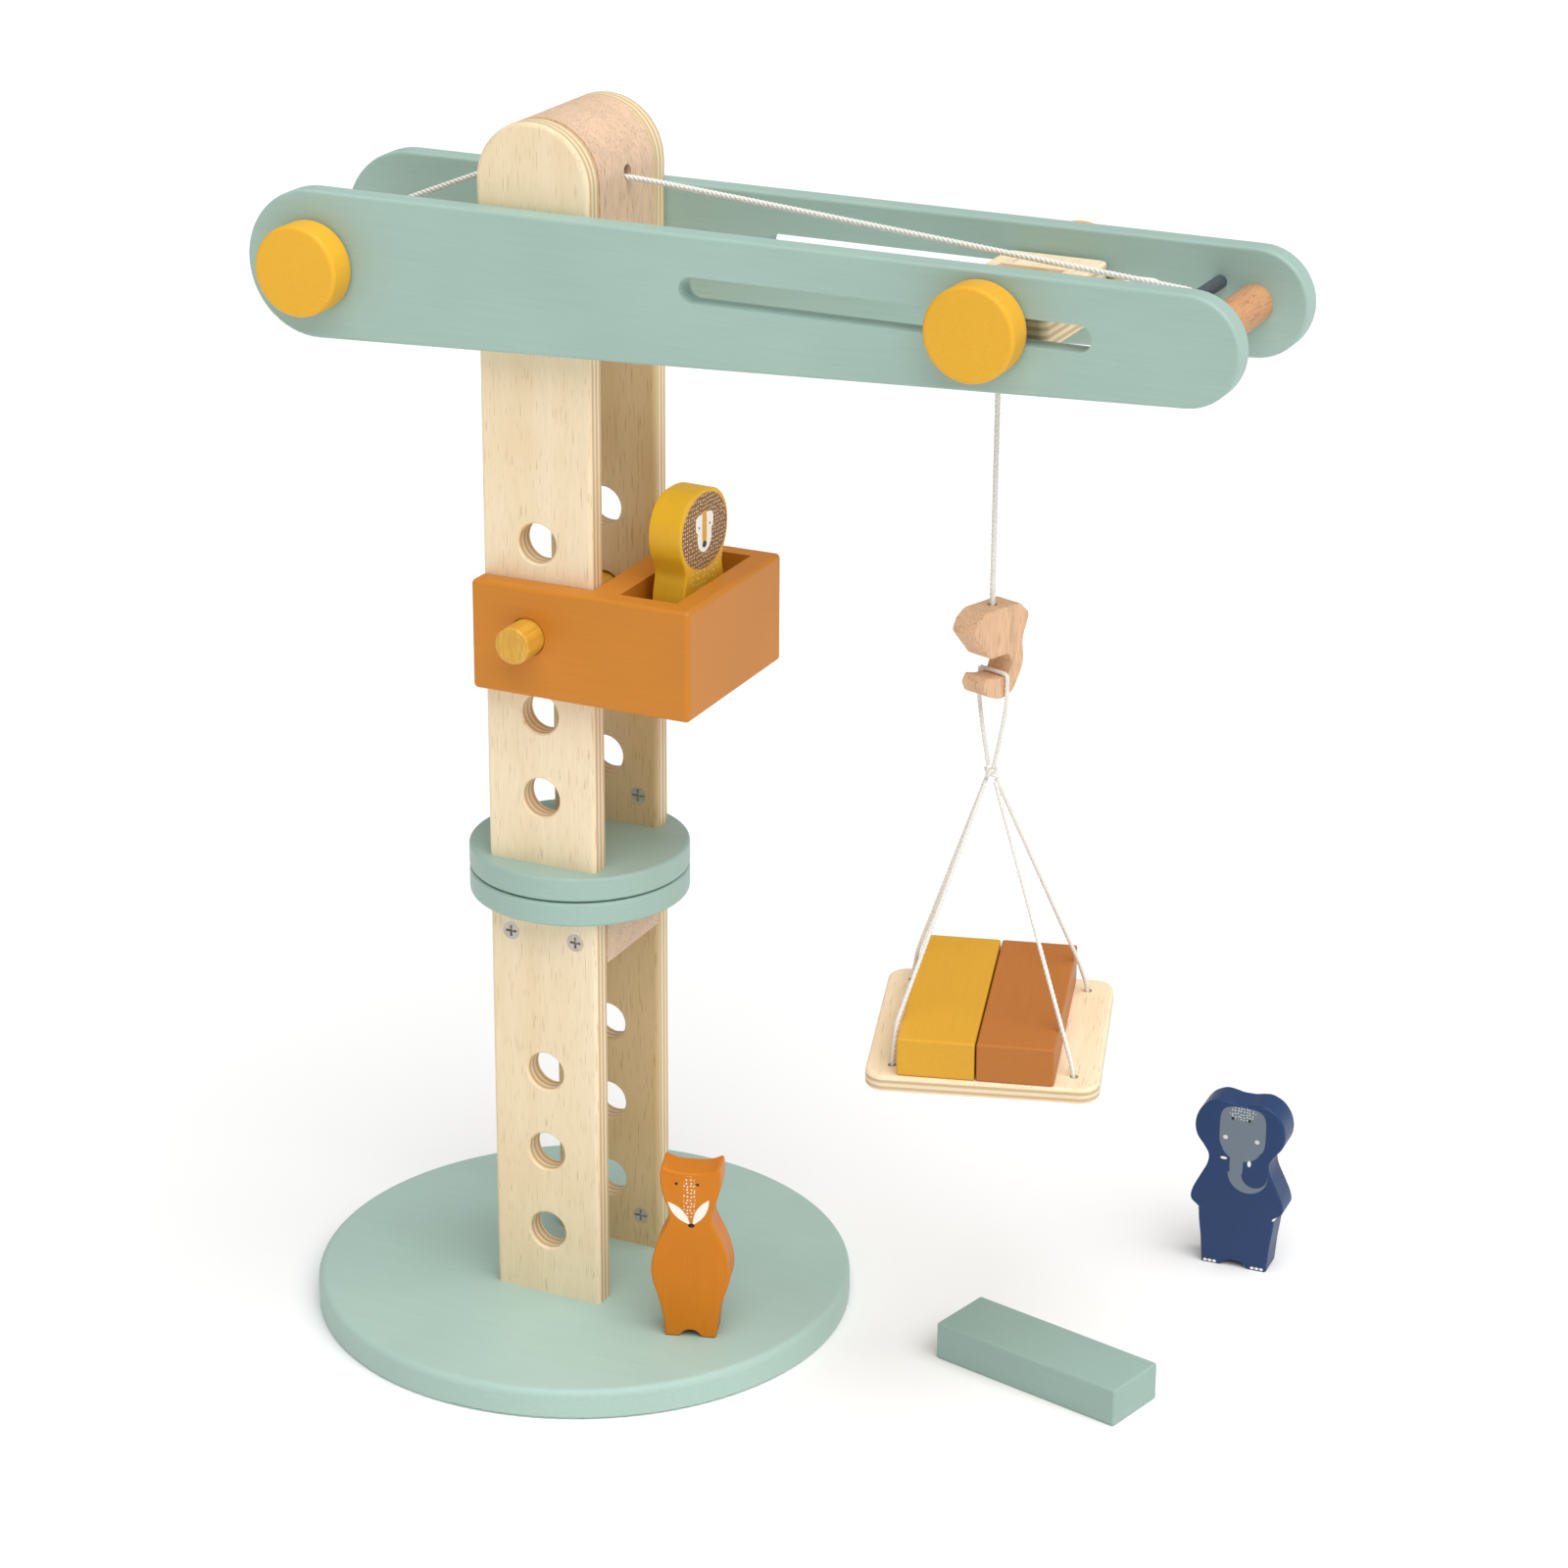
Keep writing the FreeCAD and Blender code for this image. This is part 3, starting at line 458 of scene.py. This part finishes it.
# Winch winding
# The cord's spare length lies on the winch axle in two layers of turns, out along the axle and back to its
# middle, where the cord leaves upwards.
winch_low, winch_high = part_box("cord_winding")
winch = (winch_low + winch_high) / 2
turns = 8
points_per_turn = 16
wound = []
for i in range(2 * turns * points_per_turn + 1):
    turn = i / points_per_turn
    angle = math.tau * turn
    if turn <= turns:
        radius, along = 0.0075, -0.008 + 0.016 * turn / turns
    else:
        radius, along = 0.0094, 0.008 - 0.016 * (turn - turns) / turns
    wound.append(winch + Vector((radius * math.sin(angle), along, radius * math.cos(angle))))
cord_piece("cord_on_winch", [wound], "winch", "cord_winding")


# Trolley
# A thick birch ply board between the jib's boards, cut out for a beech pulley, with a groove that lets the
# cord in. Its sides show all thirteen plies.
low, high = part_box("trolley_board")
dress("trolley_board", birch_ply("trolley_birch", 2, low.z, high.z, 13, 1))


# Hook
# Sawn from a 10 mm beech board with its grain upright, edges just broken, the cord glued into its top.
dress("hook", beech("hook_beech", 2, (228, 185, 146)))


# Pallet and slings
# A square of 6 mm birch ply hangs on four cotton cords that pass through its corners and are knotted below.
# They meet in one knot, and a doubled loop above it goes over the hook's arm.
pallet_turn = (4.2, 0, 17.0)
low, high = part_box("pallet_board")
dress("pallet_board", birch_ply("pallet_birch", 2, -0.003, 0.003, 5, 1, (low + high) / 2, pallet_turn, 1.03))
knot_low, knot_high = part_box("sling_knot")
knot = (knot_low + knot_high) / 2


def knot_route(centre, size):
    """Closed path of an overhand knot."""
    count = 36
    path = []
    for i in range(count):
        t = math.tau * i / count
        path.append(centre + size * Vector((math.sin(t) + 2 * math.sin(2 * t), math.cos(t) - 2 * math.cos(2 * t),
                                            -1.6 * math.sin(3 * t))))
    return path


cord_piece("sling_knot_tied", [knot_route(knot, 0.0007)], "pallet", "sling_knot", cyclic=True, thick=0.00082)
tray = Euler([math.radians(a) for a in pallet_turn]).to_matrix().to_4x4()
tray.translation = (low + high) / 2 + tray.to_3x3() @ Vector((0, 0, 0.003))
sling = 0.00082
block_edge = 0.02725
block_top = 0.0144
askew = math.tan(math.radians(-1.2))
feet = []
for part, across, back in (("left_front", -1, -1), ("left_rear", -1, 1), ("right_front", 1, -1), ("right_rear", 1, 1)):
    hole = Vector((across * 0.0315, back * 0.0315, 0.0))
    beside = across * (block_edge + 0.0014) - 0.0012 - 0.85 * hole.y * askew
    bend = tray @ (hole + Vector((0, 0, 0.0008)))
    start = bend - Vector((knot.x, knot.y, 0.0))
    start.z = 0.0
    start = Vector((knot.x, knot.y, knot.z - 0.003)) + 0.0024 * start.normalized()
    corner = tray @ Vector((beside, 0.85 * hole.y, block_top))
    foot = tray @ (hole - Vector((0, 0, 0.0066)))
    feet.append(tray @ (hole - Vector((0, 0, 0.0088))))
    route = [start, corner + (start - corner) * 0.07, corner, corner + (bend - corner) * 0.3, bend, foot]
    cord_piece("sling_leg_" + part + "_cord", [route], "pallet", "sling_leg_" + part, thick=sling)
cord_piece("end_knots_tied", [knot_route(at, 0.0005) for at in feet], "pallet", "pallet_end_knots", cyclic=True,
           thick=sling)

loop_low, loop_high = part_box("sling_loop")
loop_centre = (loop_low + loop_high) / 2
reach = Vector(((loop_high.x - loop_low.x) / 2 - sling, -(loop_high.y - loop_low.y) / 2 + sling, 0))
top = loop_high.z - sling
outward = reach.normalized()
loop = []
for side in (-1, 1):
    leg = [loop_centre * Vector((1, 1, 0)) + side * 0.0012 * outward + Vector((0, 0, knot.z + 0.0022)),
           loop_centre * Vector((1, 1, 0)) + side * reach + Vector((0, 0, top - 0.014)),
           loop_centre * Vector((1, 1, 0)) + side * reach + Vector((0, 0, top - 0.003)),
           loop_centre * Vector((1, 1, 0)) + side * reach + Vector((0, 0, top)),
           loop_centre * Vector((1, 1, 0)) + side * (reach - 0.003 * outward) + Vector((0, 0, top))]
    loop += leg if side < 0 else leg[::-1]
cord_piece("sling_loop_cord", [loop], "pallet", "sling_loop", thick=sling)


# Load blocks
# Three sanded beech blocks with all edges rounded, sprayed mustard, rust and sage.
rust = colour(188, 115, 48)
block_turn = (4.2, 0, 15.8)
for node, shade, along, turn in (("block_mustard", mustard, (1.0, 0.05, 1.0), block_turn),
                                 ("block_rust", rust, (1.0, 0.05, 1.0), block_turn),
                                 ("block_sage", colour(153, 179, 170), (0.05, 1.0, 1.0), (0, 0, -14.0))):
    dress(node, painted_wood(node + "_paint", shade, along, 0.6, turn))


# Cab and its pin
# The cab is one block of wood, milled out for the tower and for a passenger, sprayed orange brown. A mustard
# dowel pins it through the tower's holes, and the saw's lines still show on the dowel's end.
dress("cab", painted_wood("cab_paint", colour(207, 131, 40), (0.05, 1.0, 1.0), 0.8))
pin_paint, pin_shader, place = new_material("pin_paint")
saw = place.stretched(1.0, 0.02, 0.16).grain(1300.0, 2.0, 0.5)
mottle = place.grain(60.0)
tone = (saw * 0.6 + mottle * 0.4).step(0.5, 0.4)
finish(pin_shader, tone.choose(colour(205, 150, 44), colour(229, 177, 68)), saw * 0.2 + 0.36, saw, 0.00018)
dress("cab_pin", pin_paint)


# Figures
# Three flat animals of 13 mm wood, sawn to outline, rounded and sprayed, with a plain face printed on the
# front. A figure's marks are placed across and up its own front face, from the middle of its feet.
def figure_finish(node, shade, facing, marks):
    """Paint with printed marks: each mark is a mask of the place across, up, and the colour under it."""
    low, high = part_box(node)
    middle = (low + high) / 2
    material, shader, place = new_material(node + "_paint", (middle.x, middle.y, low.z), (0, 0, facing))
    across, depth, up = place.axis(0) * 1000, place.axis(1) * 1000, place.axis(2) * 1000
    front = 1.0 - depth.step(-5.9, 0.3)
    fibres = place.stretched(1.0, 1.0, 0.06).grain(1000.0, 3.0, 0.6)
    mottle = place.grain(40.0, 2.0)
    dark = tuple(c * 0.9 for c in shade[:3]) + (1.0,)
    base = (mottle * 0.6 + fibres * 0.4).step(0.5, 0.5).choose(dark, shade)
    for mask, ink in marks(across, up):
        base = (mask * front).choose(base, ink)
    finish(shader, base, fibres * 0.12 + 0.36, fibres, 0.00006)
    shader.inputs["Specular IOR Level"].default_value = 0.3
    dress(node, material)


def spot(across, up, x, z, wide, tall, lean=0.0):
    """Oval patch of half sizes wide and tall, leaning by an angle."""
    c, s = math.cos(math.radians(lean)), math.sin(math.radians(lean))
    dx, dz = across - x, up - z
    u = (dx * c + dz * s) / wide
    v = (dz * c - dx * s) / tall
    return 1.0 - (u * u + v * v).step(1.0, 0.4 / min(wide, tall) + 0.06)


def patch(across, up, x, z, wide, tall):
    """Rectangle with round corners, of half sizes wide and tall."""
    u, v = (across - x) / wide, (up - z) / tall
    return 1.0 - (u * u * u * u + v * v * v * v).step(1.0, 0.12)


def petal(across, up, x, z, wide, tall, lean):
    """Spot with two pointed ends."""
    c, s = math.cos(math.radians(lean)), math.sin(math.radians(lean))
    dx, dz = across - x, up - z
    u = (dx * c + dz * s) / wide
    v = (dz * c - dx * s) / tall
    return 1.0 - (u.math("ABSOLUTE") + v * v).step(1.0, 0.15)


def dots(across, up, spacing, size, stray=0.4):
    """Small dots, scattered by stray."""
    flat = across.node("ShaderNodeCombineXYZ", {0: across, 1: up})
    cell = flat.node("ShaderNodeTexVoronoi", {"Vector": flat, "Scale": 1.0 / spacing, "Randomness": stray},
                     voronoi_dimensions="2D")
    return 1.0 - cell.step(size / spacing, 0.15)


cream = colour(247, 243, 232)
black = colour(28, 26, 26)


def fox_marks(across, up):
    petals = [petal(across, up, -4.1, 50.1, 1.7, 5.9, 43), petal(across, up, 3.9, 50.8, 1.7, 5.9, -30)]
    forehead = patch(across, up, -0.3, 56.8, 2.1, 8.2) * dots(across, up, 1.35, 0.3)
    return [(forehead, cream)] + [(mask, cream) for mask in petals] + [
        (spot(across, up, 0.4, 45.4, 1.25, 0.85), black),
        (spot(across, up, -5.0, 61.9, 0.6, 0.55), black), (spot(across, up, 2.7, 61.9, 0.6, 0.55), black)]


def elephant_marks(across, up):
    grey = colour(112, 125, 138)
    ring_x, ring_z = across - 5.4, up - 39.8
    ring = (ring_x * ring_x + ring_z * ring_z).math("SQRT")
    taper = 2.38 - across * 0.2
    curl = (1.0 - ((ring - 6.2).math("ABSOLUTE") - taper).step(0.0, 0.35)) * (1.0 - up.step(40.0, 0.3))
    trunk = patch(across, up, -0.8, 45.0, 2.6, 7.0) * up.step(39.8, 0.3)
    head = [patch(across, up, 1.1, 57.8, 9.0, 9.6), spot(across, up, 0.9, 51.0, 7.6, 6.0)]
    toes = [spot(across, up, x, 1.0, 0.75, 0.6) for x in (-11.2, -9.4, -7.6, 7.4, 9.2, 11.0)]
    hands = [spot(across, up, -16.0, 23.4, 1.5, 0.6, -25), spot(across, up, 15.6, 23.2, 1.5, 0.6, 28)]
    forehead = spot(across, up, 0.9, 65.0, 5.2, 2.9) * dots(across, up, 1.15, 0.24)
    small = [(x, 62.4, 0.6, 0.6, black) for x in (-3.0, 3.5)]
    small += [(x, 54.2, 0.95, 0.85, colour(226, 214, 210)) for x in (-5.5, 6.9)]
    small += [(-5.8, 45.4, 1.3, 0.55, cream), (4.2, 44.6, 0.7, 1.3, cream)]
    return ([(mask, grey) for mask in head + [trunk, curl]] + [(mask, cream) for mask in toes + hands + [forehead]] +
            [(spot(across, up, x, z, wide, tall), ink) for x, z, wide, tall, ink in small])


def lion_marks(across, up):
    mane = spot(across, up, 0, 50.4, 15.4, 13.6)
    face = [patch(across, up, 0, 53.4, 6.0, 3.4), spot(across, up, 0, 48.6, 4.9, 5.9)]
    stripe = patch(across, up, 0, 51.6, 1.6, 6.0)
    chest = spot(across, up, 0, 34.5, 9.5, 5.0) * dots(across, up, 2.1, 0.27, 0.7)
    return [(chest, cream), (mane, colour(134, 88, 46)), (mane * dots(across, up, 1.5, 0.32), colour(236, 212, 158))] + [
        (mask, cream) for mask in face] + [
        (stripe, mustard), (spot(across, up, 0, 45.5, 1.5, 1.2), black),
        (spot(across, up, -3.6, 52.2, 0.45, 0.45), black), (spot(across, up, 3.6, 52.2, 0.45, 0.45), black)]


for node, shade, facing, marks in (("fox", colour(214, 126, 14), 18.0, fox_marks),
                                   ("elephant", colour(37, 63, 108), 3.0, elephant_marks),
                                   ("lion", colour(234, 180, 40), 86.0, lion_marks)):
    figure_finish(node, shade, facing, marks)
